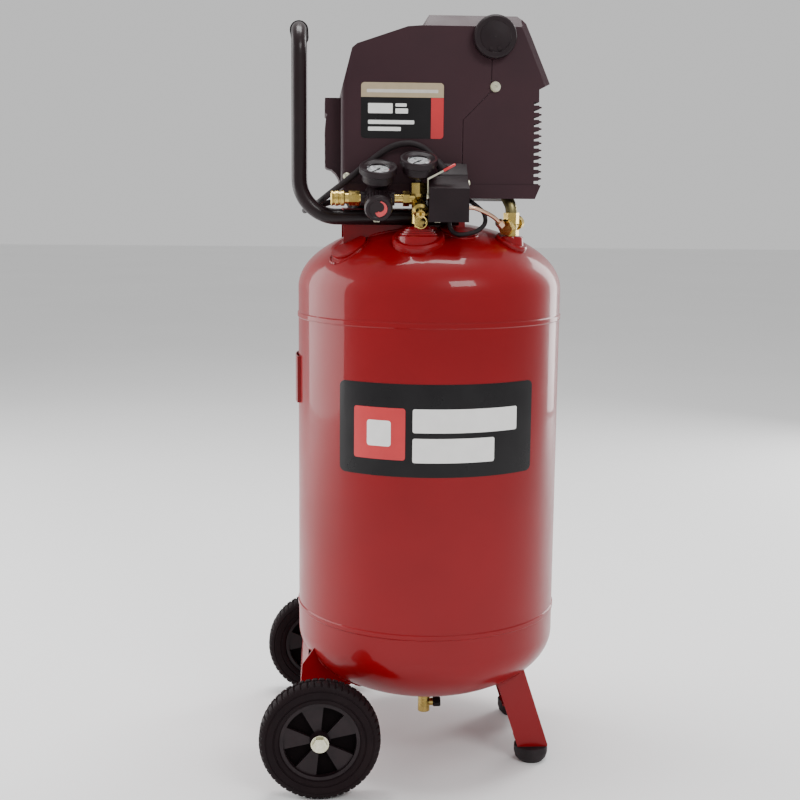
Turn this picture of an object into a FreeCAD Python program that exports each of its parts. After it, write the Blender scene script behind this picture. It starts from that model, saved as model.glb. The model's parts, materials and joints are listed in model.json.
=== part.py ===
"""Upright 20-gallon oil-free air compressor on two wheels and a fixed leg.

Millimetres, +Z up, floor at Z = 0, front toward -Y, wheels toward -X.  Everything is drawn round
the tank's axis, then moved by TANK_X so that the origin is the middle of the footprint.
"""
import FreeCAD
import Part
import math
import os

V = FreeCAD.Vector
X, Y, Z = V(1, 0, 0), V(0, 1, 0), V(0, 0, 1)

# ---- driving dimensions -------------------------------------------------------------------------
TANK_R = 200.0          # outside radius of the tank
TANK_WALL = 2.5
HEAD_RISE = 100.0       # 2:1 ellipsoidal heads
SHELL_LOW = 194.0       # height of the lower tangent line
SHELL_TOP = 727.0       # height of the upper tangent line
SEAM_LOW = 234.0
SEAM_TOP = 686.0

WHEEL_R = 88.0
WHEEL_W = 38.0
WHEEL_X = -168.0
WHEEL_Y = 207.0
RIM_R = 58.0
AXLE_R = 6.35
RUN = 0.08              # radial running clearance

HANDLE_R = 10.75
HANDLE_X = -197.5       # the two uprights
HANDLE_Y = 89.0
HANDLE_LEG_Z = 833.5
HANDLE_TOP_Z = 1101.0
HANDLE_BEND_R = 55.0

SADDLE_X = (-133.0, 45.0)
SADDLE_TOP = 846.0
SADDLE_Y = 78.0

SHROUD_Y = 100.0        # half depth of the pump cover
SHROUD_WALL = 3.0
MOTOR_Z = 955.0         # height of the motor shaft
CYLINDER_X = 70.0       # the pump cylinder's axis
BORE_R = 30.3
THROW = 8.0             # eccentric offset

MANIFOLD_X = -27.0
MANIFOLD_Y = -129.0
PORT_Z = 862.0          # height of the outlet line
GAUGE_TILT = 24.0       # gauge faces lean back from level by this
REG_X = -86.0
REG_TILT = 25.0         # the regulator knob points down by this
VALVE_TILT = 32.0       # the safety valve points down by this

SWITCH_X = (-15.5, 41.0)
SWITCH_Z = 829.0

CHECK_X, CHECK_Y = 112.0, -86.0
CORD_R = 4.5
SEAM_BUMP = 1.4         # the welded seams stand out by this
TANK_X = (WHEEL_R - WHEEL_X - TANK_R - SEAM_BUMP) / 2     # tank axis to the middle of the footprint

os.makedirs("parts", exist_ok=True)


# ---- helpers --------------------------------------------------------------------------------------
def save(name, *shapes):
    """Write one node: one solid, or a group of separate solids."""
    solids = [s for shape in shapes for s in shape.Solids]
    shape = solids[0] if len(solids) == 1 else Part.makeCompound(solids)
    shape.translate(V(TANK_X, 0, 0))
    shape.exportStep("parts/%s.step" % name)
    box = shape.BoundBox
    print("%-18s %2d solid(s) %9.1f cm3  x %6.1f %6.1f  y %6.1f %6.1f  z %6.1f %6.1f %s" % (
        name, len(solids), shape.Volume / 1000, box.XMin, box.XMax, box.YMin, box.YMax,
        box.ZMin, box.ZMax, "" if shape.isValid() else "NOT VALID"))


def tilt(degrees):
    """Unit vector toward the front, turned up by degrees from level."""
    a = math.radians(degrees)
    return V(0, -math.cos(a), math.sin(a))


GAUGE_AXIS = tilt(90 - GAUGE_TILT)
REG_AXIS = tilt(-REG_TILT)
VALVE_AXIS = tilt(-VALVE_TILT)


def box(x0, x1, y0, y1, z0, z1):
    return Part.makeBox(x1 - x0, y1 - y0, z1 - z0, V(x0, y0, z0))


def cyl(start, axis, radius, length):
    return Part.makeCylinder(radius, length, start, axis)


def ring(start, axis, outer, inner, length):
    return cyl(start, axis, outer, length).cut(cyl(start, axis, inner, length))


def place(shape, origin, axis):
    """Move a shape drawn round +Z at the origin to stand along axis at origin."""
    shape = shape.copy()
    turn = FreeCAD.Rotation(Z, axis)
    shape.Placement = FreeCAD.Placement(origin, turn).multiply(shape.Placement)
    return shape


def lathe(outline, origin=V(0, 0, 0), axis=Z):
    """Turn an outline of (radius, height) points round an axis."""
    points = [V(r, 0, h) for r, h in outline]
    face = Part.Face(Part.makePolygon(points + points[:1]))
    return place(face.revolve(V(0, 0, 0), Z, 360), origin, axis)


def hexagon(start, axis, across_flats, length, turn=0.0):
    """A hexagonal prism; turn spins it about its axis."""
    r = across_flats / math.sqrt(3)
    points = [V(r * math.cos(math.radians(60 * k + turn)), r * math.sin(math.radians(60 * k + turn)), 0)
              for k in range(6)]
    face = Part.Face(Part.makePolygon(points + points[:1]))
    return place(face.extrude(V(0, 0, length)), start, axis)


def prism_xz(outline, y0, y1):
    """Extrude an outline of (x, z) points along Y."""
    points = [V(x, y0, z) for x, z in outline]
    return Part.Face(Part.makePolygon(points + points[:1])).extrude(V(0, y1 - y0, 0))


def prism_yz(outline, x0, x1):
    """Extrude an outline of (y, z) points along X."""
    points = [V(x0, y, z) for y, z in outline]
    return Part.Face(Part.makePolygon(points + points[:1])).extrude(V(x1 - x0, 0, 0))


def route(points, radii=None, share=0.45):
    """Straight runs joined by tangent arcs.  Without radii each arc is as large as its runs allow."""
    points = [V(*p) for p in points]
    edges, start, used = [], points[0], []
    for k in range(1, len(points) - 1):
        before, after = points[k - 1] - points[k], points[k + 1] - points[k]
        half = (math.pi - before.getAngle(after)) / 2
        short = min(before.Length, after.Length)
        radius = radii if radii else share * short / math.tan(half)
        back = radius * math.tan(half)
        u, w = V(before).normalize(), V(after).normalize()
        a, b = points[k] + u * back, points[k] + w * back
        to_centre = (u + w).normalize()
        middle = points[k] + to_centre * (radius / math.cos(half) - radius)
        if (a - start).Length > 1e-4:
            edges.append(Part.LineSegment(start, a).toShape())
        edges.append(Part.Arc(a, middle, b).toShape())
        start = b
        used.append(radius)
    edges.append(Part.LineSegment(start, points[-1]).toShape())
    return Part.Wire(edges), used


def sweep(path, radius, name=""):
    """A round bar along a path; its volume is compared with section times length."""
    first = path.OrderedEdges[0]
    start = first.valueAt(first.FirstParameter)
    way = first.tangentAt(first.FirstParameter)
    circle = Part.Wire([Part.Circle(start, way, radius).toShape()])
    bar = path.makePipeShell([circle], True, True)
    if name:
        ideal = math.pi * radius ** 2 * path.Length
        print("   %s: length %.0f, volume %.3f of section x length" % (name, path.Length, bar.Volume / ideal))
    return bar


def rounded_plate(x0, x1, z0, z1, radius, y0, y1):
    """A plate facing the front with rounded corners."""
    plate = box(x0, x1, y0, y1, z0, z1)
    edges = [e for e in plate.Edges if abs(e.tangentAt(e.FirstParameter).y) > 0.9]
    return plate.makeFillet(radius, edges)


# ---- tank -----------------------------------------------------------------------------------------
POLE_FLAT = 3.0         # a flat spot this wide closes each head at its pole


def ellipse_arc(radius, rise, level, up):
    """Elliptical arc in the XZ plane from the tangent line to the flat spot, and the spot's height."""
    end = math.acos(POLE_FLAT / radius)
    pole = V(0, 0, level + rise * up)
    arc = Part.ArcOfEllipse(Part.Ellipse(V(radius, 0, level), pole, V(0, 0, level)), 0, end)
    return arc.toShape(), level + up * rise * math.sin(end)


def turned(edges):
    """Turn a closed outline round the tank's axis, with its faces outward."""
    solid = Part.Face(Part.Wire(Part.__sortEdges__(edges))).revolve(V(0, 0, 0), Z, 360)
    return solid.reversed() if solid.isInside(V(9 * TANK_R, 0, 0), 1e-3, False) else solid


def line(x0, z0, x1, z1):
    return Part.makeLine(V(x0, 0, z0), V(x1, 0, z1))


def head(level, seam, up):
    """A pressed head with its skirt, from the pole to the seam."""
    inner_r = TANK_R - TANK_WALL
    outer, top = ellipse_arc(TANK_R, HEAD_RISE, level, up)
    inner, under = ellipse_arc(inner_r, HEAD_RISE - TANK_WALL, level, up)
    return turned([outer, line(POLE_FLAT, top, 0, top), line(0, top, 0, under),
                   line(0, under, POLE_FLAT, under), inner, line(inner_r, level, inner_r, seam),
                   line(inner_r, seam, TANK_R, seam), line(TANK_R, seam, TANK_R, level)])


def tank_envelope():
    """The solid inside the tank's outer surface, used to fit brackets to it."""
    upper, top = ellipse_arc(TANK_R, HEAD_RISE, SHELL_TOP, 1)
    lower, bottom = ellipse_arc(TANK_R, HEAD_RISE, SHELL_LOW, -1)
    return turned([upper, line(POLE_FLAT, top, 0, top), line(0, top, 0, bottom),
                   line(0, bottom, POLE_FLAT, bottom), lower, line(TANK_R, SHELL_LOW, TANK_R, SHELL_TOP)])


def dome_z(x, y):
    return SHELL_TOP + HEAD_RISE * math.sqrt(1 - (x * x + y * y) / TANK_R ** 2)


def dome_normal(x, y):
    n = V(x / TANK_R ** 2, y / TANK_R ** 2, (dome_z(x, y) - SHELL_TOP) / HEAD_RISE ** 2)
    return n.normalize()


ENVELOPE = tank_envelope()
PORT_R = 7.0            # bore of the tank's ports
NAMEPLATE_Z = (553.0, 624.0)
LABEL_Z = (471.0, 604.0)
LABEL_HALF = 139.0      # half the chord of the tank label
LABEL_T = 0.6


def tank():
    ports = [cyl(V(x, y, SHELL_TOP + 20), Z, PORT_R, 100) for x, y in
             ((MANIFOLD_X, MANIFOLD_Y), (CHECK_X, CHECK_Y))]
    save("tank_top_head", head(SHELL_TOP, SEAM_TOP, 1).cut(ports[0]).cut(ports[1]))
    drain = cyl(V(0, 0, SHELL_LOW - HEAD_RISE - 5), Z, PORT_R, 20)
    save("tank_bottom_head", head(SHELL_LOW, SEAM_LOW, -1).cut(drain))
    save("tank_shell", ring(V(0, 0, SEAM_LOW), Z, TANK_R, TANK_R - TANK_WALL, SEAM_TOP - SEAM_LOW))
    bump = [(TANK_R, -4.5), (TANK_R + SEAM_BUMP, -2.8), (TANK_R + SEAM_BUMP, 2.8), (TANK_R, 4.5)]
    save("seam_welds", *[lathe(bump, V(0, 0, z)) for z in (SEAM_LOW, SEAM_TOP)])


def tank_bosses():
    """Threaded bosses welded to the heads: outlet, check valve and drain."""
    at = V(MANIFOLD_X, MANIFOLD_Y, dome_z(MANIFOLD_X, MANIFOLD_Y))
    flange = lathe([(0, -12), (38, -12), (38, 4), (35, 7), (0, 7)], at, dome_normal(at.x, at.y))
    neck = lathe([(0, -10), (31, -10), (30, 6), (27, 8), (27, 10), (24, 10.6), (24, 13), (21, 13.6), (21, 16),
                  (18, 16.6), (17, 19), (0, 19)], at)
    outlet = flange.fuse(neck).cut(ENVELOPE).cut(cyl(at - Z * 20, Z, PORT_R, 60))
    low = V(CHECK_X, CHECK_Y, dome_z(CHECK_X, CHECK_Y))
    flange = lathe([(0, -8), (25, -8), (25, 3), (23, 5), (0, 5)], low, dome_normal(low.x, low.y))
    neck = lathe([(0, -8), (19, -8), (18, 8), (16, 10), (0, 10)], low)
    inlet = flange.fuse(neck).cut(ENVELOPE).cut(cyl(low - Z * 20, Z, PORT_R, 60))
    foot = SHELL_LOW - HEAD_RISE
    drain = lathe([(PORT_R, -8), (16, -8), (20, -2), (20, 8), (PORT_R, 8)], V(0, 0, foot)).cut(ENVELOPE)
    save("tank_bosses", outlet, inlet, drain)
    return at.z + 19, low.z + 10


def saddle_bracket():
    """Folded steel saddle that carries the pump and the handle, with feet welded to the dome."""
    x0, x1 = SADDLE_X
    t = 3.0
    block = box(x0, x1, -SADDLE_Y, SADDLE_Y, 700, SADDLE_TOP)
    hollow = box(x0 - 1, x1 + 1, -SADDLE_Y + t, SADDLE_Y - t, 700, SADDLE_TOP - t)
    shape = block.cut(hollow)
    for side in (-1, 1):
        for x in (x0 + 8, x1 - 11):
            y = side * (SADDLE_Y + 14)
            at = V(x, y, dome_z(x, y))
            pad = cyl(at - dome_normal(x, y) * 6, dome_normal(x, y), 27, 9)
            keep = box(x - 40, x + 40, min(side * (SADDLE_Y - t), side * 140),
                       max(side * (SADDLE_Y - t), side * 140), 700, 846)
            shape = shape.fuse(pad.common(keep))
    shape = shape.cut(ENVELOPE)
    for x in HANDLE_BOLTS:
        shape = shape.cut(cyl(V(x, -120, HANDLE_LEG_Z), Y, 4.2, 240))
    for x, y in MOUNT_SPOTS:
        shape = shape.cut(cyl(V(x, y, 800), Z, 4.2, 60))
    save("saddle_bracket", shape)


def nameplate_bracket():
    """A curved plate standing off the tank's wheel side on two folded edges."""
    z0, z1 = NAMEPLATE_Z
    plate = ring(V(0, 0, z0), Z, TANK_R + 4.5, TANK_R + 3, z1 - z0)
    edges = ring(V(0, 0, z0), Z, TANK_R + 4.5, TANK_R, z1 - z0)
    shape = plate.common(box(-230, -150, -35, 35, z0, z1))
    for side in (-1, 1):
        near, far = (33, 36) if side > 0 else (-36, -33)
        shape = shape.fuse(edges.common(box(-230, -150, near, far, z0, z1)))
    save("nameplate_bracket", shape)


def labels():
    z0, z1 = LABEL_Z
    skin = ring(V(0, 0, z0), Z, TANK_R + LABEL_T, TANK_R, z1 - z0)
    save("tank_label", skin.common(rounded_plate(-LABEL_HALF, LABEL_HALF, z0, z1, 8, -210, -90)))
    save("shroud_label", rounded_plate(-109.0, 9.0, 946.0, 1024.0, 5, -SHROUD_Y - LABEL_T, -SHROUD_Y))


# ---- running gear ---------------------------------------------------------------------------------
AXLE_AT = V(WHEEL_X, 0, WHEEL_R)
CARRIER = 22.0          # half the side of the square axle carrier
CARRIER_Y = 182.0
WEB_Y = 92.0            # half width of the gussets


def wheel_bracket():
    """Square axle carrier with folded gussets up to the lower head."""
    z = WHEEL_R
    outer = box(WHEEL_X - CARRIER, WHEEL_X + CARRIER, -CARRIER_Y, CARRIER_Y, z - CARRIER, z + CARRIER)
    t = 3.5
    inner = box(WHEEL_X - CARRIER + t, WHEEL_X + CARRIER - t, -CARRIER_Y + t, CARRIER_Y - t,
                z - CARRIER + t, z + CARRIER - t)
    outline = [(WHEEL_X - CARRIER - 8, z + CARRIER), (WHEEL_X - CARRIER - 4, 158), (-172, 190), (-100, 180),
               (WHEEL_X + CARRIER + 30, 128), (WHEEL_X + CARRIER, z + CARRIER)]
    hollow = [(WHEEL_X - CARRIER - 4.5, z + CARRIER + t), (WHEEL_X - CARRIER - 0.5, 158), (-169, 210), (-104, 190),
              (WHEEL_X + CARRIER + 25, 130), (WHEEL_X + CARRIER - 3, z + CARRIER + t)]
    web = prism_xz(outline, -WEB_Y, WEB_Y).cut(prism_xz(hollow, -WEB_Y + t, WEB_Y - t))
    shape = outer.fuse(web).cut(inner).cut(ENVELOPE)
    shape = shape.cut(cyl(AXLE_AT - Y * 200, Y, AXLE_R, 400))
    solids = sorted(shape.Solids, key=lambda s: s.Volume)
    save("wheel_bracket", solids[-1])


def axle_bolt(side):
    """Shoulder bolt with a hexagonal head outside and a nut inside the carrier."""
    out = Y * side
    face = AXLE_AT + out * (WHEEL_Y + WHEEL_W / 2 + 1.0)
    head_ = hexagon(face, out, 19, 7.5).fuse(cyl(face, out, 13, 1.5))
    reach = WHEEL_Y + WHEEL_W / 2 + 1.0 - (CARRIER_Y - 14)
    shank = cyl(face - out * reach, out, AXLE_R, reach)
    nut = hexagon(AXLE_AT + out * (CARRIER_Y - 3.5 - 8), out, 19, 8)
    return head_.fuse(shank).fuse(nut).removeSplitter()


def tyre(side):
    half = WHEEL_W / 2
    outline = [(RIM_R, -half + 5), (RIM_R + 7, -half), (WHEEL_R - 9, -half), (WHEEL_R - 3, -half + 4),
               (WHEEL_R, -half + 9), (WHEEL_R, half - 9), (WHEEL_R - 3, half - 4), (WHEEL_R - 9, half),
               (RIM_R + 7, half), (RIM_R, half - 5)]
    return lathe(outline, AXLE_AT + Y * side * WHEEL_Y, Y)


def hub(side):
    """Moulded hub: barrel, web, rim and five raised blades on each side."""
    at = AXLE_AT + Y * side * WHEEL_Y
    half = WHEEL_W / 2
    shape = lathe([(0, -half), (12, -half), (15, -half + 8), (15, half - 8), (12, half), (0, half)], at, Y)
    shape = shape.fuse(cyl(at - Y * 4, Y, RIM_R - 2, 8))
    shape = shape.fuse(ring(at - Y * (half - 5), Y, RIM_R, RIM_R - 5, WHEEL_W - 10))
    for face in (-1, 1):
        for k in range(5):
            middle = math.radians(102 + 72 * k)
            a, b = middle - math.radians(18), middle + math.radians(18)
            tip = RIM_R - 4
            corners = [V(0, 0, 0), V(tip * math.cos(a), 0, tip * math.sin(a)),
                       V(tip * 1.02 * math.cos(middle), 0, tip * 1.02 * math.sin(middle)),
                       V(tip * math.cos(b), 0, tip * math.sin(b))]
            blade = Part.Face(Part.makePolygon(corners + corners[:1])).extrude(Y * face * (half - 9))
            blade.translate(at)
            shape = shape.fuse(blade)
    shape = shape.cut(cyl(at - Y * 30, Y, AXLE_R + RUN, 60))
    return shape.removeSplitter()


def running_gear():
    wheel_bracket()
    save("axle_bolts", axle_bolt(-1), axle_bolt(1))
    for name, side in (("front", -1), ("rear", 1)):
        save("tyre_" + name, tyre(side))
        save("hub_" + name, hub(side))


# ---- support leg ----------------------------------------------------------------------------------
LEG_Y = 104.0
LEG_T = 3.5
FOOT_AT = (160.0, 92.0)
FOOT_H = 24.0


def support_leg():
    """Folded steel leg: a wide slanted plate with side flanges, welded to the lower head."""
    outline = [(139, 20), (184, 20), (184, 28), (128, 200), (80, 200), (103, 130)]
    inside = [(142, FOOT_H + LEG_T), (180.3, FOOT_H + LEG_T), (124, 200), (70, 200), (99.0, 130)]
    block = prism_xz(outline, -LEG_Y, LEG_Y)
    hollow = prism_xz([(60, FOOT_H + LEG_T)] + inside[:3] + [(60, 200)], -LEG_Y + LEG_T, LEG_Y - LEG_T)
    arch = box(120, 200, -LEG_Y + 46, LEG_Y - 46, 0, 62)
    under = box(100, 220, -150, 150, 0, FOOT_H)
    shape = block.cut(hollow).cut(arch).cut(under).cut(ENVELOPE)
    for side in (-1, 1):
        shape = shape.cut(cyl(V(FOOT_AT[0], side * FOOT_AT[1], 0), Z, 4.2, 60))
    save("support_leg", max(shape.Solids, key=lambda s: s.Volume))
    feet = []
    for side in (-1, 1):
        at = V(FOOT_AT[0], side * FOOT_AT[1], 0)
        foot = lathe([(4.2, 6), (9, 6), (9, 0), (19, 0), (24, 6), (26, 14), (26, FOOT_H), (4.2, FOOT_H)], at)
        feet.append(foot)
    save("rubber_feet", *feet)


def foot_screw(side):
    at = V(FOOT_AT[0], side * FOOT_AT[1], 0)
    return lathe([(0, 2), (7.5, 2), (7.5, 6), (4, 6), (4, 36), (0, 36)], at).fuse(
        hexagon(at + Z * (FOOT_H + LEG_T), Z, 13, 6)).removeSplitter()


# ---- drain ----------------------------------------------------------------------------------------
DRAIN_Z = 58.0


def drain_valve():
    top = SHELL_LOW - HEAD_RISE - 8
    body = hexagon(V(0, 0, top - 12), Z, 19, 12).fuse(cyl(V(0, 0, 44), Z, 9.5, top - 12 - 44))
    body = body.fuse(cyl(V(0, 0, top), Z, PORT_R, 12))
    body = body.fuse(cyl(V(0, 0, DRAIN_Z), X, 6, 14)).cut(cyl(V(0, 0, 43), Z, 3, 20))
    body = body.cut(cyl(V(4, 0, DRAIN_Z), X, 3 + RUN, 11)).cut(cyl(V(0, 0, 60), Z, 3, 60))
    save("drain_valve_body", body)
    knob = cyl(V(5, 0, DRAIN_Z), X, 3, 12).fuse(lathe(
        [(0, 0), (7, 0), (8, 1.5), (8, 10.5), (7, 12), (0, 12)], V(14.5, 0, DRAIN_Z), X))
    for side in (-1, 1):
        knob = knob.fuse(box(16, 26, min(0, side * 12), max(0, side * 12), DRAIN_Z - 2.5, DRAIN_Z + 2.5))
    save("drain_knob", knob.removeSplitter())


# ---- handle ---------------------------------------------------------------------------------------
HANDLE_BOLTS = (-86.0, 2.0)
HANDLE_END = 34.0
HANDLE_CORNER_R = 38.0
GRIP_HALF = 46.0
GRIP_R = 13.5


def handle():
    """Bent tube handle: two legs bolted to the saddle, two uprights and the crossbar."""
    joint_z = 1000.0
    top = [(HANDLE_X, -HANDLE_Y, joint_z), (HANDLE_X, -HANDLE_Y, HANDLE_TOP_Z),
           (HANDLE_X, HANDLE_Y, HANDLE_TOP_Z), (HANDLE_X, HANDLE_Y, joint_z)]
    runs = [(top, HANDLE_CORNER_R)]
    for y in (-HANDLE_Y, HANDLE_Y):
        leg = [(HANDLE_END, y, HANDLE_LEG_Z), (HANDLE_X, y, HANDLE_LEG_Z), (HANDLE_X, y, joint_z)]
        runs.append((leg, HANDLE_BEND_R))
    shape = None
    for points, radius in runs:
        wire, _ = route(points, radii=radius)
        bar = sweep(wire, HANDLE_R).cut(sweep(wire, HANDLE_R - 1.8))
        shape = bar if shape is None else shape.fuse(bar)
    for x in HANDLE_BOLTS:
        shape = shape.cut(cyl(V(x, -120, HANDLE_LEG_Z), Y, 4.2, 240))
    save("handle_tube", shape.removeSplitter())
    save("handle_grip", ring(V(HANDLE_X, -GRIP_HALF, HANDLE_TOP_Z), Y, GRIP_R, HANDLE_R, 2 * GRIP_HALF))


def handle_bolt(x, side):
    out = Y * side
    face = V(x, side * (HANDLE_Y + HANDLE_R), HANDLE_LEG_Z)
    length = 2 * HANDLE_R + 3 + 12
    bolt = hexagon(face, out, 13, 5.5).fuse(cyl(face - out * length, out, 4, length))
    nut = hexagon(V(x, side * (SADDLE_Y - 3 - 7), HANDLE_LEG_Z), out, 13, 7)
    return bolt.fuse(nut).removeSplitter()


# ---- motor and pump -------------------------------------------------------------------------------
MOUNT_SPOTS = [(x, y) for x in (-110.0, 20.0) for y in (-50.0, 50.0)]
BASE_Z = 858.0
SHAFT_R = 6.0
STATOR_X = (-100.0, -36.0)


def motor_mounts():
    """Rubber isolators between the saddle and the pump base, each with its stud."""
    mounts = []
    for x, y in MOUNT_SPOTS:
        at = V(x, y, SADDLE_TOP)
        mounts.append(lathe([(0, 0), (11, 0), (9, 6), (11, 12), (0, 12)], at).fuse(cyl(at - Z * 12, Z, 4, 36)))
    save("motor_mounts", *mounts)


def crankcase():
    """Cast base with the motor's bearing walls and the deck under the cylinder."""
    base = box(-120, 40, -62, 62, BASE_Z, BASE_Z + 6).fuse(box(40, 104, -44, 44, BASE_Z, BASE_Z + 6))
    for x in (-118, -26):
        wall = box(x, x + 8, -40, 40, BASE_Z + 6, MOTOR_Z).fuse(cyl(V(x, 0, MOTOR_Z), X, 40, 8))
        base = base.fuse(wall)
    for y in (-42, 36):
        base = base.fuse(box(30, 110, y, y + 6, BASE_Z + 6, 984))
    base = base.fuse(box(28, 112, -42, 42, 984, 990)).cut(cyl(V(CYLINDER_X, 0, 980), Z, BORE_R + 0.4, 20))
    base = base.fuse(box(-96, -40, -30, 30, BASE_Z + 6, 905)).cut(cyl(V(-112, 0, MOTOR_Z), X, 60, 86))
    for x in (-118, -26):
        base = base.cut(cyl(V(x, 0, MOTOR_Z), X, 16, 8))
    for x, y in MOUNT_SPOTS:
        base = base.cut(cyl(V(x, y, 850), Z, 4, 30))
    save("crankcase", base)


def motor():
    x0, x1 = STATOR_X
    save("motor_stator", ring(V(x0, 0, MOTOR_Z), X, 60, 37, x1 - x0).fuse(
        ring(V(x0 - 8, 0, MOTOR_Z), X, 54, 42, x1 - x0 + 16)).removeSplitter())
    save("shaft_bearings", *[ring(V(x, 0, MOTOR_Z), X, 16, SHAFT_R + 0.03, 8) for x in (-118, -26)])
    shaft = cyl(V(-132, 0, MOTOR_Z), X, SHAFT_R, 216).fuse(cyl(V(x0 + 4, 0, MOTOR_Z), X, 36, x1 - x0 - 8))
    save("rotor_shaft", shaft)
    fan = ring(V(-131, 0, MOTOR_Z), X, 14, SHAFT_R, 11)
    for k in range(7):
        blade = box(-130, -122, -1.2, 1.2, 13, 52)
        blade.rotate(V(-126, 0, 0), Z, 28)
        blade.rotate(V(0, 0, 0), X, 360 / 7 * k)
        blade.translate(V(0, 0, MOTOR_Z))
        fan = fan.fuse(blade)
    save("cooling_fan", fan)


def pump():
    """Eccentric, wobble-piston rod, finned cylinder and head, all round the cylinder's axis."""
    pin = V(CYLINDER_X - 6, 0, MOTOR_Z + THROW)
    eccentric = cyl(pin, X, 20, 12).cut(cyl(V(CYLINDER_X - 7, 0, MOTOR_Z), X, SHAFT_R + 0.05, 14))
    save("eccentric", eccentric)
    piston_z = 1018.0
    rod = ring(pin, X, 26, 20, 12)
    rod = rod.fuse(box(CYLINDER_X - 6, CYLINDER_X + 6, -8, 8, pin.z + 24, piston_z))
    rod = rod.fuse(cyl(V(CYLINDER_X, 0, piston_z), Z, BORE_R - 0.3, 8))
    save("connecting_rod", rod.removeSplitter())
    at = V(CYLINDER_X, 0, 990)
    barrel = ring(at, Z, 36, BORE_R, 54)
    for k in range(5):
        barrel = barrel.fuse(ring(at + Z * (6 + 10 * k), Z, 46, BORE_R, 3))
    save("cylinder", barrel.removeSplitter())
    cover = box(CYLINDER_X - 44, CYLINDER_X + 44, -44, 44, 1044, 1056)
    for k in range(7):
        y = -42 + 13.3 * k
        cover = cover.fuse(box(CYLINDER_X - 42, CYLINDER_X + 42, y, y + 4, 1056, 1076))
    cover = cover.fuse(box(100, 134, -56, -32, 1044, 1056))
    save("cylinder_head", cover.removeSplitter())


# ---- shroud ---------------------------------------------------------------------------------------
LEFT, RIGHT_TOP, RIGHT_LOW = -137.4, 146.5, 148.5
SKIRT_Z = (862.0, 882.0)
SKIRT_OUT = 1.6         # the skirt's top edge stands out by this
SLOPE = [(114.5, 1120), (126.5, 1109), (135.5, 1089), (163, 1025.5)]
SHROUD_LINE = [(LEFT, SKIRT_Z[0]), (LEFT, 1012), (-122, 1071.5), (-115, 1077.5), (-43, 1102), (-19, 1104),
               (-12, 1120)] + SLOPE + [(RIGHT_TOP, 1017), (RIGHT_LOW, SKIRT_Z[1] + 0.4),
                                       (152, SKIRT_Z[1] - 0.4), (144, SKIRT_Z[0])]
TOP_CHAMFER = 16.5
SLOPE_CHAMFER = 9.0
FIN_PITCH = 10.1
FIN_TOP = 992.0
FINS = 11
BULGE = [(-160, 1004), (-160, 983), (-156.5, 980), (-158.5, 977), (-160, 960), (-159.5, 906), (-157, 903.5),
         (-150, 901.5), (-144, 896), (-139.5, 889), (LEFT, 882), (LEFT + 1, 882), (LEFT + 1, 1004)]
SPLIT_LINE = [(77, 1140), (77, 1026), (83, 1020), (37, 973), (37, 840)]
SPLIT_GAP = 0.8
CAP_AT = V(80.0, -SHROUD_Y, 1088.5)
CAP_R = 30.5
SHROUD_BOLT = V(83.0, -SHROUD_Y, 1020.0)
CORNER_BOLT = V(-129.0, -SHROUD_Y, 892.0)


def inset(outline, distance):
    wire = Part.makePolygon([V(x, 0, z) for x, z in outline + outline[:1]])
    small = wire.makeOffset2D(-distance, 2)
    if Part.Face(small).Area > Part.Face(wire).Area:
        small = wire.makeOffset2D(distance, 2)
    return Part.Face(small)


def edge_wedge(start, end, size, side, reach):
    """What a chamfer removes along one edge of the cover's outline, on one side of the cover."""
    a, b = V(start[0], 0, start[1]), V(end[0], 0, end[1])
    way = (b - a).normalize()
    out = V(-way.z, 0, way.x)
    face = Y * side * SHROUD_Y
    corners = [face - out * size, face + Y * side * 2 - out * size, face + Y * side * 2 + out * 2,
               face - Y * side * size + out * 2, face - Y * side * size]
    points = [a - way * reach + c for c in corners]
    return Part.Face(Part.makePolygon(points + points[:1])).extrude(way * ((b - a).Length + 2 * reach))


def split_plate(shift):
    """Everything to the right of the parting line moved by shift."""
    line = [(x + shift, z) for x, z in SPLIT_LINE]
    return prism_xz(line + [(260, 840), (260, 1140)], -160, 160)


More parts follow.
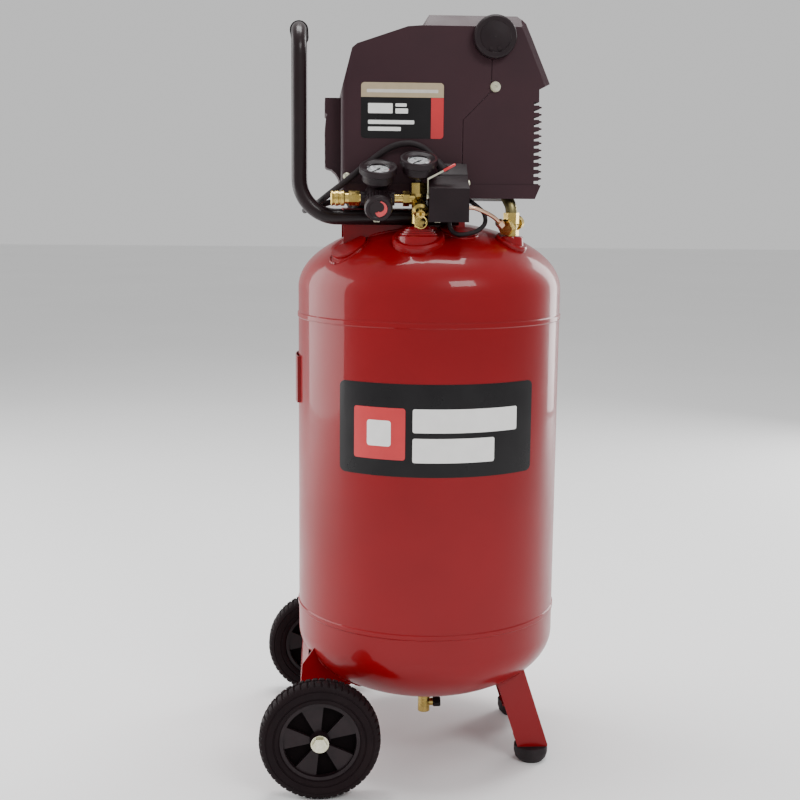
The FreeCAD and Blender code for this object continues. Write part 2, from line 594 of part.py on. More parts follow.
def shroud():
    """Two moulded shells that meet along a stepped line, with the motor-end bulge and louvres."""
    outer = prism_xz(SHROUD_LINE, -SHROUD_Y, SHROUD_Y)
    uprights = [e for e in outer.Edges if abs(abs(e.CenterOfMass.y) - SHROUD_Y) < 1e-6
                and abs(e.CenterOfMass.x - LEFT) < 1e-6]
    outer = outer.makeFillet(11, uprights)
    for side in (-1, 1):
        outer = outer.cut(edge_wedge((-30, 1120), (120, 1120), TOP_CHAMFER, side, 0))
        for start, end in zip(SLOPE, SLOPE[1:]):
            outer = outer.cut(edge_wedge(start, end, SLOPE_CHAMFER, side, 5))
    hollow = inset(SHROUD_LINE, SHROUD_WALL).extrude(V(0, 2 * SHROUD_Y - 7, 0))
    hollow.translate(V(0, -SHROUD_Y + 3.5, 0))
    for side in (-1, 1):
        hollow = hollow.cut(edge_wedge((-30, 1120), (120, 1120), TOP_CHAMFER + 5, side, 0))
        for start, end in zip(SLOPE, SLOPE[1:]):
            hollow = hollow.cut(edge_wedge(start, end, SLOPE_CHAMFER + 5, side, 5))
    mouth = box(-134, 140, -SHROUD_Y + 3.5, SHROUD_Y - 3.5, 850, 890)
    shell = outer.cut(hollow).cut(mouth)
    low, high = SKIRT_Z
    for side in (-1, 1):
        y = side * SHROUD_Y
        lip = prism_yz([(y + side * SKIRT_OUT, high), (y - side * 1.0, low), (y - side * 3, low),
                        (y - side * 3, high)], LEFT + 11, 144)
        shell = shell.cut(prism_yz([(y + side, low - 1), (y + side, low), (y + side, high), (y, high),
                                    (y - side * 1.0, low), (y - side * 1.0, low - 1)], -200, 200)).fuse(lip)
    end = prism_xz(BULGE, -66, 66)
    end_hollow = prism_xz([(-157, 976), (-157, 908), (LEFT + 6, 903), (LEFT + 6, 976)], -63, 63)
    shell = shell.fuse(end).cut(end_hollow)
    for k in range(5):
        z = 912 + 13 * k
        shell = shell.cut(box(-170, -155, -50, 50, z, z + 5))
    for k in range(FINS + 1):
        z = FIN_TOP - FIN_PITCH * k
        x = RIGHT_TOP + (RIGHT_LOW - RIGHT_TOP) * k / FINS
        if k < FINS:
            fin = prism_xz([(x - 3, z - 2.9), (x + 1.5, z - 1.5), (x + 4.5, z - 0.8), (x + 4.5, z + 0.8),
                            (x - 3, z + 2.9)], -SHROUD_Y + 2, SHROUD_Y - 2)
            shell = shell.fuse(fin)
        shell = shell.cut(box(x - 7, x + 10, -101, 101, z + 2.9, z + FIN_PITCH - 2.9))
    cup = ring(CAP_AT + Y * 22, -Y, CAP_R - 3, CAP_R - 6, 22)
    shell = shell.cut(cyl(CAP_AT - Y * 1, Y, CAP_R - 6, 20)).fuse(cup)
    for bolt in (SHROUD_BOLT, CORNER_BOLT):
        shell = shell.cut(cyl(bolt - Y * 2, Y, 3.0, 20))
    left = shell.cut(split_plate(0))
    right = shell.common(split_plate(SPLIT_GAP))
    save("shroud_left", max(left.Solids, key=lambda s: s.Volume))
    save("shroud_right", max(right.Solids, key=lambda s: s.Volume))


def shroud_screws():
    screw = hexagon(SHROUD_BOLT, -Y, 12.5, 4.5).cut(cyl(SHROUD_BOLT - Y * 2.5, -Y, 2.2, 3)).fuse(
        cyl(SHROUD_BOLT, -Y, 7.4, 1)).fuse(cyl(SHROUD_BOLT, Y, 3, 9))
    dome = lathe([(0, 0), (5.7, 0), (5, 3), (3, 4.5), (0, 5)], CORNER_BOLT, -Y).fuse(cyl(CORNER_BOLT, Y, 3, 9))
    return [screw.removeSplitter(), dome.removeSplitter()]


def intake():
    """Twist-off cap over a foam filter disc."""
    cap = lathe([(0, 0.3), (CAP_R, 0.3), (CAP_R, 12), (CAP_R - 1, 14.5), (CAP_R - 3, 16), (CAP_R - 8, 16),
                 (CAP_R - 9.5, 14.6), (8, 15.4), (0, 15.6)], CAP_AT, -Y)
    skirt = ring(CAP_AT - Y * 1, Y, CAP_R - 6.3, CAP_R - 8, 13)
    for turn in (250, 290):
        a = math.radians(turn)
        at = CAP_AT + V(17 * math.cos(a), 0, 17 * math.sin(a))
        cap = cap.fuse(cyl(at, -Y, 2.6, 16.6))
    save("intake_cap", cap.fuse(skirt).removeSplitter())
    save("intake_filter", cyl(CAP_AT + Y * 13.5, Y, CAP_R - 6, 8))


# ---- air fittings ---------------------------------------------------------------------------------
GAUGE_R = 26.8
DIAL_R = 16.4
GAUGE_SPOTS = {"tank": V(MANIFOLD_X - 2, -147, 918), "outlet": V(REG_X, -146, 906)}
GAUGE_STEM = 42.0
REG_AT = V(REG_X, -131, PORT_Z)


def gauge_case(centre):
    case = lathe([(0, -26), (17, -26), (22.5, -21), (22.5, -11), (GAUGE_R, -8.5), (GAUGE_R, -1), (GAUGE_R - 1, 0),
                  (GAUGE_R - 4, 0), (GAUGE_R - 4.6, -0.8), (DIAL_R + 1, -3.0), (DIAL_R, -3.6), (DIAL_R, -7),
                  (0, -7)], centre, GAUGE_AXIS)
    stem = cyl(centre - GAUGE_AXIS * GAUGE_STEM, GAUGE_AXIS, 6, GAUGE_STEM - 25)
    nut = hexagon(centre - GAUGE_AXIS * 33, GAUGE_AXIS, 14, 7)
    return case.fuse(stem).fuse(nut).removeSplitter()


def gauges():
    cases, dials, lenses = [], [], []
    for name, centre in GAUGE_SPOTS.items():
        cases.append(gauge_case(centre))
        face = centre - GAUGE_AXIS * 7
        dials.append(ring(face, GAUGE_AXIS, DIAL_R - 0.1, 0.8, 0.8))
        lenses.append(cyl(centre - GAUGE_AXIS * 4.6, GAUGE_AXIS, DIAL_R - 0.1, 1.0))
        at = face + GAUGE_AXIS * 1.2
        hand = cyl(face + GAUGE_AXIS * 0.1, GAUGE_AXIS, 0.75, 1.8).fuse(cyl(at, GAUGE_AXIS, 2.0, 0.7))
        blade = Part.Face(Part.makePolygon([V(-1.1, -4, 0), V(1.1, -4, 0), V(0.4, 12.4, 0), V(-0.4, 12.4, 0),
                                            V(-1.1, -4, 0)])).extrude(V(0, 0, 0.6))
        blade.rotate(V(0, 0, 0), Z, 135)
        hand = hand.fuse(place(blade, at + GAUGE_AXIS * 0.1, GAUGE_AXIS))
        save(name + "_needle", hand.removeSplitter())
    save("gauge_cases", *cases)
    save("gauge_dials", *dials)
    save("gauge_lenses", *lenses)
    return cases


SWITCH_PORT_Z = 842.0
VALVE_SEAT = 15.0       # from the manifold's axis to the safety valve's seat


def valve_start():
    return V(MANIFOLD_X, MANIFOLD_Y, PORT_Z - 2) + VALVE_AXIS * VALVE_SEAT


def manifold(boss_top, cases):
    """Brass block on the riser: outlet arm, gauge port, safety valve port and switch port."""
    at = V(MANIFOLD_X, MANIFOLD_Y, 826)
    shape = cyl(at, Z, 10.5, 50).fuse(hexagon(V(MANIFOLD_X, MANIFOLD_Y, 868), Z, 21.8, 15, 30))
    shape = shape.fuse(cyl(V(MANIFOLD_X, MANIFOLD_Y, PORT_Z - 1), -X, 8.5, 22))
    shape = shape.fuse(hexagon(V(MANIFOLD_X - 14, MANIFOLD_Y, PORT_Z - 1), -X, 19, 9))
    shape = shape.fuse(cyl(V(MANIFOLD_X, MANIFOLD_Y, SWITCH_PORT_Z), X, 8, 11))
    port = V(MANIFOLD_X, MANIFOLD_Y, 860) + VALVE_AXIS * 2
    shape = shape.fuse(cyl(port, VALVE_AXIS, 9.0, VALVE_SEAT - 2)).cut(cyl(valve_start(), VALVE_AXIS, 13, 20))
    shape = shape.cut(cyl(at, Z, 5, 40)).cut(cyl(V(MANIFOLD_X, MANIFOLD_Y, PORT_Z - 1), -X, 4, 40))
    for case in cases:
        shape = shape.cut(case)
    shape = shape.cut(cyl(at, Z, 6.5, 6)).cut(cyl(V(MANIFOLD_X - 18, MANIFOLD_Y, PORT_Z - 1), -X, 6.5, 6))
    shape = shape.cut(cyl(V(MANIFOLD_X + 8, MANIFOLD_Y, SWITCH_PORT_Z), X, 5, 6))
    save("manifold_body", max(shape.Solids, key=lambda s: s.Volume))
    riser = ring(V(MANIFOLD_X, MANIFOLD_Y, boss_top - 12), Z, 6.5, 4, 832 - boss_top + 12)
    riser = riser.fuse(ring(V(MANIFOLD_X, MANIFOLD_Y, boss_top - 12), Z, PORT_R, 4, 12))
    link = ring(V(REG_X + 24, MANIFOLD_Y, PORT_Z - 1), X, 6.5, 4, MANIFOLD_X - 18 - REG_X - 24)
    tail = ring(V(REG_X - 24, MANIFOLD_Y, PORT_Z - 1), -X, 6.5, 4, 8)
    switch_pipe = ring(V(MANIFOLD_X + 8, MANIFOLD_Y, SWITCH_PORT_Z), X, 5, 3,
                       SWITCH_X[0] + 1.8 - MANIFOLD_X - 8)
    save("pipe_nipples", riser, link, tail, switch_pipe)


def safety_valve():
    """Relief valve with a spring-loaded stem and a pull ring."""
    start = valve_start()
    body = hexagon(start, VALVE_AXIS, 19, 6).fuse(
        lathe([(0, 6), (10, 6), (11, 8), (11, 14), (7.5, 17), (6.5, 24), (0, 24)], start, VALVE_AXIS))
    body = body.cut(cyl(start + VALVE_AXIS * 4, VALVE_AXIS, 2 + RUN, 30))
    save("safety_valve", body)
    stem = cyl(start + VALVE_AXIS * 6, VALVE_AXIS, 2, 24)
    tip = start + VALVE_AXIS * 29
    loop = Part.makeTorus(8.3, 1.0, tip + V(0, -1.2, -8.3), tilt(0))
    save("safety_ring", stem.fuse(loop))


def regulator(cases):
    body = cyl(REG_AT - REG_AXIS * 16, REG_AXIS, 17.5, 31)
    body = body.fuse(cyl(V(REG_X - 24, MANIFOLD_Y, PORT_Z - 1), X, 10, 48))
    body = body.cut(cyl(V(REG_X - 30, MANIFOLD_Y, PORT_Z - 1), X, 4, 60))
    for case in cases:
        body = body.cut(case)
    body = body.cut(cyl(REG_AT + REG_AXIS * 5, REG_AXIS, 4 + RUN, 20))
    save("regulator_body", max(body.Solids, key=lambda s: s.Volume))
    knob = lathe([(0, 15.5), (18.5, 15.5), (20, 18), (20, 34), (18, 38), (14, 38), (13, 37), (0, 37)],
                 REG_AT, REG_AXIS)
    for k in range(24):
        a = math.radians(15 * k)
        rib = cyl(V(20.4 * math.cos(a), 20.4 * math.sin(a), 18), Z, 1.5, 15)
        knob = knob.cut(place(rib, REG_AT, REG_AXIS))
    knob = knob.fuse(cyl(REG_AT + REG_AXIS * 6, REG_AXIS, 4, 12))
    save("regulator_knob", knob.removeSplitter())


COUPLER_X = REG_X - 32


def coupler():
    """Quick coupler: hexagonal body with a bored core, and the sleeve that slides back on it."""
    at = V(COUPLER_X, MANIFOLD_Y, PORT_Z - 1)
    body = hexagon(at + X * 6, -X, 18, 15).fuse(cyl(at, -X, 8, 33))
    body = body.cut(cyl(at + X * 10, -X, 4, 30)).cut(cyl(at - X * 11, -X, 5.6, 30))
    body = body.cut(cyl(at + X * 10, -X, 6.5, 10))
    save("coupler_body", body)
    sleeve = lathe([(8 + RUN, 0), (10, 0), (11, 1.5), (11, 5), (10, 6), (10, 8), (11, 9), (11, 13), (10, 14),
                    (10, 16), (11, 17), (11, 18.5), (9.5, 20), (8 + RUN, 20)], at - X * 14.5, -X)
    save("coupler_sleeve", sleeve)


# ---- pressure switch ------------------------------------------------------------------------------
COVER_LOW = [(-165, SWITCH_Z), (-165, 876), (-138.5, 893), (-118, 893), (-118, SWITCH_Z)]
COVER_HIGH = [(-138.5, 888), (-138.5, 893), (-137, 895.5), (-118, 911), (-118, 888)]
COVER_STEP_X = 2.0      # the raised back part of the cover starts here
COVER_T = 2.0
LEVER_PIVOT = V(SWITCH_X[0], -157.0, 864.0)
SCREW_AT = V(SWITCH_X[1], -141.0, 884.0)
UNLOADER_AT = V(SWITCH_X[1] - 1, -131.0, 849.0)
GLAND_AT = V(10.0, -126.0, 899.0)
GLAND_AXIS = V(-0.58, 0.30, 0.757).normalize()
GLAND_LENGTH = 20.0


def gland_body():
    return lathe([(0, -4), (6, -4), (6, 2.6), (8, 3.2), (8, 6.5), (6.8, 8), (5.6, GLAND_LENGTH),
                  (0, GLAND_LENGTH)], GLAND_AT, GLAND_AXIS)


def switch_cover():
    """Moulded cover: a box with a sloping top and a raised back part, open underneath."""
    x0, x1 = SWITCH_X
    t = COVER_T
    cover = prism_yz(COVER_LOW, x0, x1).fuse(prism_yz(COVER_HIGH, COVER_STEP_X, x1))
    low = [(-163, SWITCH_Z - 1), (-163, 875), (-137.5, 891), (-120, 891), (-120, SWITCH_Z - 1)]
    high = [(-135, 886), (-135, 894.2), (-120, 906.5), (-120, 886)]
    cover = cover.cut(prism_yz(low, x0 + t, x1 - t)).cut(prism_yz(high, COVER_STEP_X + t, x1 - t))
    cover = cover.cut(cyl(V(x0 - 1, MANIFOLD_Y, SWITCH_PORT_Z), X, 5.2, 5))
    cover = cover.cut(cyl(LEVER_PIVOT - X * 2, X, 2.5 + RUN, 5)).cut(cyl(SCREW_AT - X * 3, X, 2, 5))
    cover = cover.cut(cyl(UNLOADER_AT - X * 3, X, 3.2, 6)).cut(gland_body())
    save("switch_cover", cover.removeSplitter())


def switch_base():
    """Base plate with the diaphragm housing and the contact block on it."""
    x0, x1 = SWITCH_X[0] + COVER_T + 0.2, SWITCH_X[1] - COVER_T - 0.2
    base = box(x0, x1, -162.8, -120.2, SWITCH_Z, SWITCH_Z + 10)
    base = base.fuse(box(x0, x0 + 10, -142, -120.4, SWITCH_Z + 10, 856))
    base = base.fuse(cyl(V(14, -142, SWITCH_Z + 10), Z, 9, 8))
    base = base.fuse(box(4, 34, -155, -134, SWITCH_Z + 18, 866)).fuse(cyl(V(14, -146, 866), Z, 6, 8))
    save("switch_base", base.cut(cyl(V(x0 - 1, MANIFOLD_Y, SWITCH_PORT_Z), X, 3, 10)).removeSplitter())


def switch_lever():
    """Bent strip lever on a short pivot pin."""
    lever = cyl(LEVER_PIVOT - X * 3, X, 2.5, 8).fuse(cyl(LEVER_PIVOT - X * 3, X, 4.5, 2))
    strip = [(-17.7, 862), (-17.7, 889.5), (20, 909.5), (21.2, 907.4), (-16.2, 887.3), (-16.2, 862)]
    save("switch_lever", lever.fuse(prism_xz(strip, -159, -155)).removeSplitter())


def cover_screw():
    return lathe([(0, 0), (4.3, 0), (4.0, 2), (2.5, 3.2), (0, 3.4)], SCREW_AT, X).fuse(
        cyl(SCREW_AT - X * 8, X, 2, 8)).removeSplitter()


def strain_relief():
    save("strain_relief", gland_body().cut(cyl(GLAND_AT - GLAND_AXIS * 6, GLAND_AXIS, CORD_R, 40)))


# ---- check valve, tubes and leads -----------------------------------------------------------------
CROSS = V(0.60, 0.78, 0.20).normalize()     # the check valve's cross body points this way


def check_valve(boss_top):
    """Brass check valve: threaded foot, cross body with a plug and a cap, and the tube nut on top."""
    foot = V(CHECK_X, CHECK_Y, boss_top + 1)
    shape = cyl(foot - Z * 9, Z, PORT_R, 9).fuse(hexagon(foot, Z, 20, 8)).fuse(cyl(foot, Z, 8.5, 16))
    middle = foot + Z * 15
    shape = shape.fuse(cyl(middle - CROSS * 12, CROSS, 8, 28)).fuse(check_plug(middle))
    shape = shape.fuse(lathe([(0, 0), (10.5, 0), (10.5, 7), (8, 10), (0, 10)], middle + CROSS * 14, CROSS))
    shape = shape.fuse(hexagon(middle + Z * 2, Z, 20, 16)).cut(cyl(middle + Z * 8, Z, 8.7, 12))
    save("check_valve", shape)
    return middle


def check_plug(middle):
    return hexagon(middle - CROSS * 19, CROSS, 21, 9, 30)


def tubes(middle):
    """Discharge tube from the pump head and the thin unloader tube from the switch."""
    top = middle + Z * 8
    points = [(122, -44, 1043.5), (121, -48, 940), (97, -62, 884), (CHECK_X, CHECK_Y, top.z + 18), tuple(top)]
    path, radii = route(points)
    print("   discharge tube radii", [round(r) for r in radii])
    save("discharge_tube", sweep(path, 8.5, "discharge tube"))
    end = middle - CROSS * 15 - Y * 8 - X * 7 + Z * 2
    points = [tuple(UNLOADER_AT), (52, -131, 849), (68, -126, 843), (84, -115, 835), tuple(end)]
    path, radii = route(points)
    print("   unloader tube radii", [round(r) for r in radii])
    way = (end - V(*points[-2])).normalize()
    tube = sweep(path, 3.0, "unloader tube").fuse(hexagon(end - way * 10, way, 11, 9))
    save("unloader_tube", tube.cut(check_plug(middle)).cut(cyl(middle - CROSS * 12, CROSS, 8, 28)))


MOTOR_LEAD = [(17, -127, SWITCH_Z), (17, -127, 822), (21, -126.5, 815), (28.5, -125, 811), (41, -121, 811),
              (59, -114, 815), (72, -107, 826), (71, -101, 841), (58, -94, 853), (47, -81, 861), (44, -72, 878)]
LEAD_R = 3.2

# The power cord's route, from the gland to its coil: over the gauges' backs, round behind the handle's
# bend, over the saddle's end and down behind the tank.
CORD_START = GLAND_AT + GLAND_AXIS * GLAND_LENGTH
CORD_POINTS = [tuple(CORD_START), tuple(CORD_START + GLAND_AXIS * 16), (-25, -113, 936), (-44, -112.5, 940),
               (-69, -112.5, 933.5), (-97, -112.5, 913), (-131, -114, 884), (-155, -96, 866), (-173, -69, 851),
               (-188, -39, 843), (-191, -8, 841), (-178, 22, 846), (-152, 48, 854), (-128, 78, 859),
               (-118, 112, 850), (-112, 148, 820), (-104, 182, 770), (-94, 210, 700), (-82, 222, 600),
               (-66, 226, 490), (-52, 232, 380), (-42, 236, 270), (-38, 240, 165), (-33, 247, 95),
               (-26, 262, 50), (-21, 286, 30), (-20, 312, 27.5), (-20, 332, 27.5)]
COIL_AT = V(30.0, 330.0, 0)
COIL_R = 50.0           # mean radius of the turns
COIL_TURNS = 2.5
COIL_TOP = 32.0
PLUG_AT = V(COIL_AT.x + COIL_R, COIL_AT.y - 6, CORD_R)


def cords():
    path, radii = route(MOTOR_LEAD)
    print("   motor lead radii", [round(r) for r in radii])
    save("motor_lead", sweep(path, LEAD_R, "motor lead"))
    path, radii = route(CORD_POINTS)
    print("   power cord radii", [round(r) for r in radii])
    save("power_cord", sweep(path, CORD_R, "power cord"))
    coil_length = 2 * math.pi * COIL_R * COIL_TURNS
    print("   power cord in all: %.0f mm" % (path.Length + coil_length + GLAND_LENGTH))
    save("cord_coil", ring(COIL_AT, Z, COIL_R + CORD_R, COIL_R - CORD_R, COIL_TOP))


def plug():
    """Moulded three-pin plug lying on the floor, pins away from the coil."""
    relief = lathe([(0, 0), (CORD_R + 1.5, 0), (CORD_R + 3, 30), (0, 30)], PLUG_AT + Z * 3.5, -Y)
    body = rounded_plate(PLUG_AT.x - 14, PLUG_AT.x + 14, 0, 24, 5, PLUG_AT.y - 66, PLUG_AT.y - 28)
    shape = relief.fuse(body)
    face = PLUG_AT.y - 66
    for x in (-6.35, 6.35):
        shape = shape.fuse(box(PLUG_AT.x + x - 0.75, PLUG_AT.x + x + 0.75, face - 16, face, 4.5, 10.8))
    shape = shape.fuse(cyl(V(PLUG_AT.x, face, 17), -Y, 2.4, 19))
    coil_edge = ring(COIL_AT, Z, COIL_R + CORD_R, COIL_R - CORD_R, COIL_TOP)
    save("plug", shape.cut(coil_edge).removeSplitter())


# ---- build ----------------------------------------------------------------------------------------
def build():
    tank()
    outlet_top, inlet_top = tank_bosses()
    saddle_bracket()
    nameplate_bracket()
    labels()
    running_gear()
    support_leg()
    drain_valve()
    handle()
    bolts = [handle_bolt(x, side) for x in HANDLE_BOLTS for side in (-1, 1)]
    bolts += [foot_screw(-1), foot_screw(1), cover_screw()] + shroud_screws()
    save("bolts_and_screws", *bolts)
    motor_mounts()
    crankcase()
    motor()
    pump()
    shroud()
    intake()
    cases = gauges()
    manifold(outlet_top, cases)
    safety_valve()
    regulator(cases)
    coupler()
    switch_cover()
    switch_base()
    switch_lever()
    strain_relief()
    middle = check_valve(inlet_top)
    tubes(middle)
    cords()
    plug()


build()
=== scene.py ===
"""Looks for the upright air compressor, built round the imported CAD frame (metres, +Z up)."""
import json
import math

import bmesh
import bpy
from mathutils import Matrix, Vector


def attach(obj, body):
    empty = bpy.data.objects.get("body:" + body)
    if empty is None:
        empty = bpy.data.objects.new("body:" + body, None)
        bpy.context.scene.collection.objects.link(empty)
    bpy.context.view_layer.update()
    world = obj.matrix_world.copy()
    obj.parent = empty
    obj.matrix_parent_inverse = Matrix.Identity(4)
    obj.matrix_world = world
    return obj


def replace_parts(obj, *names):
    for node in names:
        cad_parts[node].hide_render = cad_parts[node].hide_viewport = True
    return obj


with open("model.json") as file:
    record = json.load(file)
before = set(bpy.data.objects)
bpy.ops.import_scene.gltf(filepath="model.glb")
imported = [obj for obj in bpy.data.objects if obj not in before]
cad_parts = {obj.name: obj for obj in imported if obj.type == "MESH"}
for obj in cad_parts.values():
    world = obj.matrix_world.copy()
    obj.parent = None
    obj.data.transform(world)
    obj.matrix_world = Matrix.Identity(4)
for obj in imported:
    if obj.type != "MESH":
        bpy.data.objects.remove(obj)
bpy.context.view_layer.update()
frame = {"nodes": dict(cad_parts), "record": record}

MM = 0.001
TANK_X = 27.3                # the tank's axis, millimetres from the frame's origin
TANK_R = 200.0
LABEL_T = 0.6                # how far the tank label's film stands off the tank


def mm(x, y, z):
    """A point given in millimetres round the tank's axis, in the frame's metres."""
    return Vector(((x + TANK_X) * MM, y * MM, z * MM))


def tilt(degrees):
    """A direction towards the front, tilted up by so many degrees."""
    a = math.radians(degrees)
    return Vector((0, -math.cos(a), math.sin(a)))


GAUGE_AXIS = tilt(66)
REG_AXIS = tilt(-25)
TANK_GAUGE = (-29, -147, 918)
OUTLET_GAUGE = (-86, -146, 906)
REG_AT = (-86, -131, 862)
ROOT = "compressor"


# ---- materials ------------------------------------------------------------------------------------
class Look:
    """A node material: colour with variation, roughness with variation, and relief."""

    def __init__(self, name, color, rough, metal=0.0, coat=0.0, coat_rough=0.1, specular=0.5):
        self.mat = bpy.data.materials.new(name)
        self.mat.use_nodes = True
        self.tree = self.mat.node_tree
        self.tree.nodes.clear()
        self.out = self.add("OutputMaterial")
        self.shader = self.add("BsdfPrincipled")
        self.link(self.shader.outputs[0], self.out.inputs["Surface"])
        self.shader.inputs["Base Color"].default_value = (*color, 1)
        self.shader.inputs["Roughness"].default_value = rough
        self.shader.inputs["Metallic"].default_value = metal
        self.shader.inputs["Coat Weight"].default_value = coat
        self.shader.inputs["Coat Roughness"].default_value = coat_rough
        self.shader.inputs["Specular IOR Level"].default_value = specular
        self.coord = self.add("TexCoord").outputs["Object"]
        self.color = color
        self.last_bump = None
        self.mat.diffuse_color = (*color, 1)

    def add(self, kind, **values):
        node = self.tree.nodes.new("ShaderNode" + kind)
        for key, value in values.items():
            setattr(node, key, value)
        return node

    def link(self, a, b):
        self.tree.links.new(a, b)

    def noise(self, scale, detail=3.0, rough=0.55, stretch=None):
        node = self.add("TexNoise")
        node.inputs["Scale"].default_value = scale
        node.inputs["Detail"].default_value = detail
        node.inputs["Roughness"].default_value = rough
        source = self.coord
        if stretch:
            mapping = self.add("Mapping")
            mapping.inputs["Scale"].default_value = stretch
            self.link(source, mapping.inputs["Vector"])
            source = mapping.outputs[0]
        self.link(source, node.inputs["Vector"])
        return node.outputs["Fac"]

    def ramp(self, value, low, high, to_low=0.0, to_high=1.0):
        node = self.add("MapRange")
        node.inputs["From Min"].default_value = low
        node.inputs["From Max"].default_value = high
        node.inputs["To Min"].default_value = to_low
        node.inputs["To Max"].default_value = to_high
        self.link(value, node.inputs["Value"])
        return node.outputs["Result"]

    def mix(self, factor, a, b):
        node = self.add("Mix", data_type="RGBA")
        self.link(factor, node.inputs["Factor"])
        node.inputs["A"].default_value = (*a, 1)
        node.inputs["B"].default_value = (*b, 1)
        return node.outputs["Result"]

    def vary(self, scale, other, low=0.35, high=0.65, **more):
        """Vary the base colour between the look's own and another, in soft patches."""
        factor = self.ramp(self.noise(scale, **more), low, high)
        self.link(self.mix(factor, self.color, other), self.shader.inputs["Base Color"])
        return self

    def vary_rough(self, scale, low, high, **more):
        """Vary the roughness between two values, over the middle of the noise's range."""
        value = self.ramp(self.noise(scale, **more), 0.3, 0.7, low, high)
        self.link(value, self.shader.inputs["Roughness"])
        return self

    def bump(self, height, strength, distance):
        """Add relief; distance is the height of the relief in metres."""
        node = self.add("Bump")
        node.inputs["Strength"].default_value = strength
        node.inputs["Distance"].default_value = distance
        self.link(height, node.inputs["Height"])
        if self.last_bump:
            self.link(self.last_bump, node.inputs["Normal"])
        self.last_bump = node.outputs["Normal"]
        self.link(self.last_bump, self.shader.inputs["Normal"])
        return self

    def grain(self, scale, strength, distance, **more):
        return self.bump(self.noise(scale, **more), strength, distance)


def make_looks():
    """One look per record slot, and a few more for details."""
    looks = {}

    def look(name, *args, **kwargs):
        looks[name] = Look(name, *args, **kwargs)
        return looks[name]

    red = look("red_paint", (0.225, 0.0015, 0.0050), 0.36, coat=0.32, coat_rough=0.04, specular=0.12)
    red.vary(5.0, (0.20, 0.0013, 0.0042)).vary_rough(14, 0.30, 0.40)
    red.grain(420, 0.12, 0.00012, detail=2).grain(18, 0.05, 0.0006, detail=1)
    black = look("black_paint", (0.013, 0.0055, 0.0068), 0.34, coat=0.10, coat_rough=0.12, specular=0.2)
    black.vary(22, (0.010, 0.005, 0.006)).vary_rough(30, 0.30, 0.42).grain(600, 0.15, 0.0001)
    plastic = look("black_plastic", (0.015, 0.0078, 0.0096), 0.36, specular=0.22)
    plastic.vary(30, (0.010, 0.005, 0.0066)).vary_rough(60, 0.32, 0.46).grain(1400, 0.25, 0.00008)
    cover = look("shroud_plastic", (0.036, 0.0125, 0.0175), 0.44, specular=0.22)
    cover.vary(9, (0.030, 0.011, 0.0155)).vary_rough(12, 0.40, 0.54).grain(1100, 0.45, 0.00012, detail=2)
    rubber = look("black_rubber", (0.011, 0.007, 0.008), 0.58, specular=0.25)
    rubber.vary(40, (0.018, 0.012, 0.014)).vary_rough(50, 0.54, 0.72).grain(900, 0.3, 0.0001)
    tyre = look("tyre_rubber", (0.011, 0.0055, 0.0065), 0.55, specular=0.1)
    tyre.vary(16, (0.008, 0.004, 0.005)).vary_rough(40, 0.50, 0.68).grain(800, 0.35, 0.00012)
    brass = look("brass", (0.58, 0.43, 0.14), 0.24, metal=1.0)
    brass.vary(70, (0.46, 0.33, 0.09)).vary_rough(120, 0.18, 0.34)
    brass.grain(2000, 0.12, 0.00005, stretch=(1, 1, 8))
    zinc = look("zinc", (0.70, 0.68, 0.55), 0.30, metal=1.0)
    zinc.vary(90, (0.58, 0.56, 0.40)).vary_rough(150, 0.22, 0.42)
    steel = look("steel", (0.56, 0.56, 0.57), 0.30, metal=1.0)
    steel.vary_rough(200, 0.22, 0.42, stretch=(1, 6, 6))
    iron = look("iron", (0.20, 0.19, 0.19), 0.55, metal=0.7)
    iron.vary(60, (0.26, 0.23, 0.21)).grain(900, 0.3, 0.0002, stretch=(6, 1, 1))
    cast = look("cast_aluminium", (0.60, 0.60, 0.61), 0.50, metal=0.9)
    cast.vary(30, (0.50, 0.50, 0.51)).grain(500, 0.4, 0.0002)
    copper = look("copper", (0.66, 0.46, 0.32), 0.34, metal=1.0)
    copper.vary(60, (0.62, 0.38, 0.26)).vary_rough(90, 0.28, 0.44)
    olive = look("olive_tube", (0.26, 0.22, 0.10), 0.36, metal=1.0)
    olive.vary(50, (0.20, 0.17, 0.08)).vary_rough(80, 0.30, 0.46)
    lens = look("clear_lens", (0.95, 0.97, 0.98), 0.04)
    lens.shader.inputs["Transmission Weight"].default_value = 1.0
    lens.shader.inputs["IOR"].default_value = 1.15
    lens.vary_rough(80, 0.03, 0.07)
    dial = look("dial_white", (0.62, 0.60, 0.60), 0.5)
    dial.vary(90, (0.56, 0.54, 0.54))
    needle = look("needle_black", (0.02, 0.02, 0.02), 0.5)
    needle.vary(90, (0.03, 0.03, 0.03))
    film = look("label_black", (0.006, 0.005, 0.006), 0.30, coat=0.10, specular=0.2)
    film.vary(20, (0.009, 0.008, 0.009)).vary_rough(30, 0.26, 0.36)
    # Painted shade: near-black finish for sheets on the hub's recess floors, standing in for the shadow there.
    painted_shade = look("painted_shade_black", (0.0035, 0.0018, 0.0022), 0.7, specular=0.05)
    painted_shade.vary(40, (0.0025, 0.0012, 0.0016))
    foam = look("foam", (0.09, 0.09, 0.09), 0.9)
    foam.grain(500, 0.9, 0.001)
    white = look("print_white", (0.84, 0.83, 0.81), 0.35)
    white.vary(60, (0.80, 0.79, 0.77))
    print_red = look("print_red", (0.56, 0.016, 0.022), 0.3, coat=0.4)
    print_red.vary(30, (0.50, 0.014, 0.02))
    silver = look("print_silver", (0.60, 0.57, 0.52), 0.35)
    silver.vary(60, (0.54, 0.51, 0.46))
    tan = look("print_tan", (0.42, 0.33, 0.21), 0.4)
    tan.vary(60, (0.38, 0.30, 0.19))
    return {name: item.mat for name, item in looks.items()}


